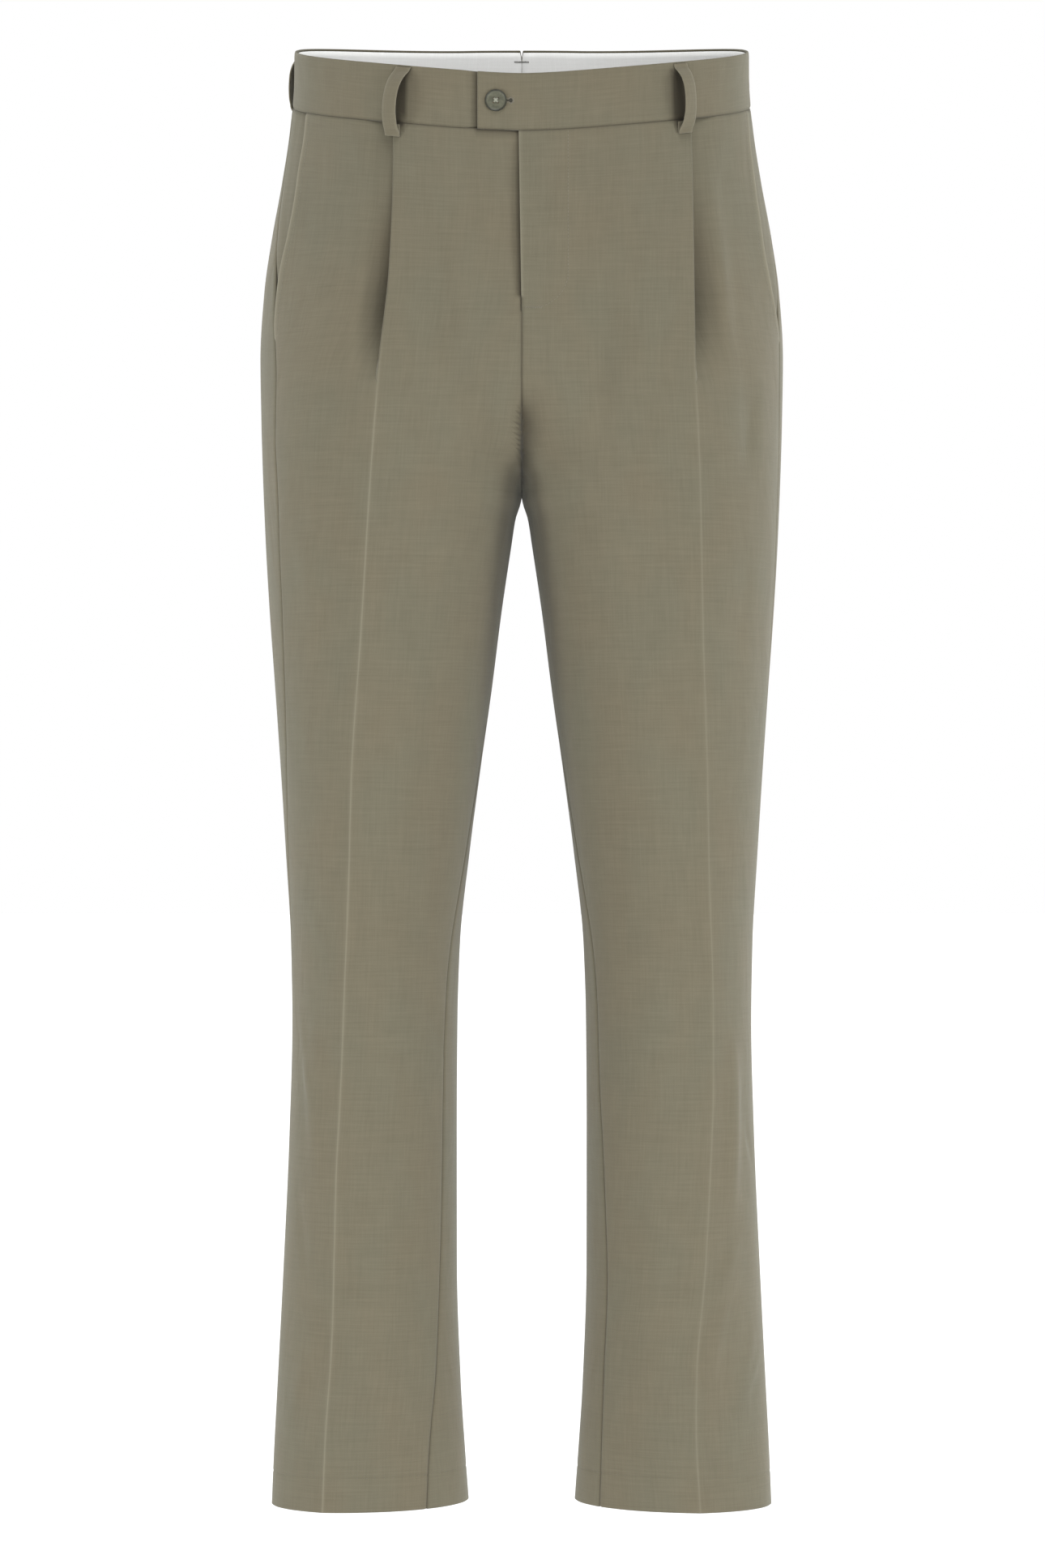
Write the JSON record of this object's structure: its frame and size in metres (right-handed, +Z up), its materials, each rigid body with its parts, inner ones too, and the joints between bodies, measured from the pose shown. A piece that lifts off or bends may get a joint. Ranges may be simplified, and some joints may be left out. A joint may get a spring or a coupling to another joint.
{
  "type": "pleated chinos",
  "caption": "Full-length pleated trousers, filled out as worn, with slant pockets, buttoned waist tab, belt loops, pressed creases and slightly flared hems.",
  "frame": {"origin": "middle of the waist opening at the height of the centre front's top edge, where the wearer holds the trousers up", "axes": "+Z up the body, from hem to waist; -Y to the front; +X to the wearer's left"},
  "size_m": [0.3931, 0.2615, 1.1062],
  "materials": {
    "chino_cloth": "matt olive linen and cotton weave",
    "waist_lining": "matt off-white plain weave",
    "button": "satin dark olive",
    "zip": "matt olive tape"
  },
  "bodies": {
    "root": {"front_right": "chino_cloth", "front_left": "chino_cloth", "back_right": "chino_cloth", "back_left": "chino_cloth", "waistband_right": "chino_cloth", "waistband_left": "chino_cloth", "waistband_lining_right": "waist_lining", "waistband_lining_left": "waist_lining", "pocket_facing_right": "chino_cloth", "pocket_facing_left": "chino_cloth", "fly_facing": "chino_cloth", "fly_shield": "chino_cloth", "zip": "zip", "zip_slider": "zip", "button": "button", "belt_loop_front_right": "chino_cloth", "belt_loop_front_left": "chino_cloth", "belt_loop_side_right": "chino_cloth", "belt_loop_side_left": "chino_cloth", "belt_loop_back": "chino_cloth"}
  },
  "joints": []
}
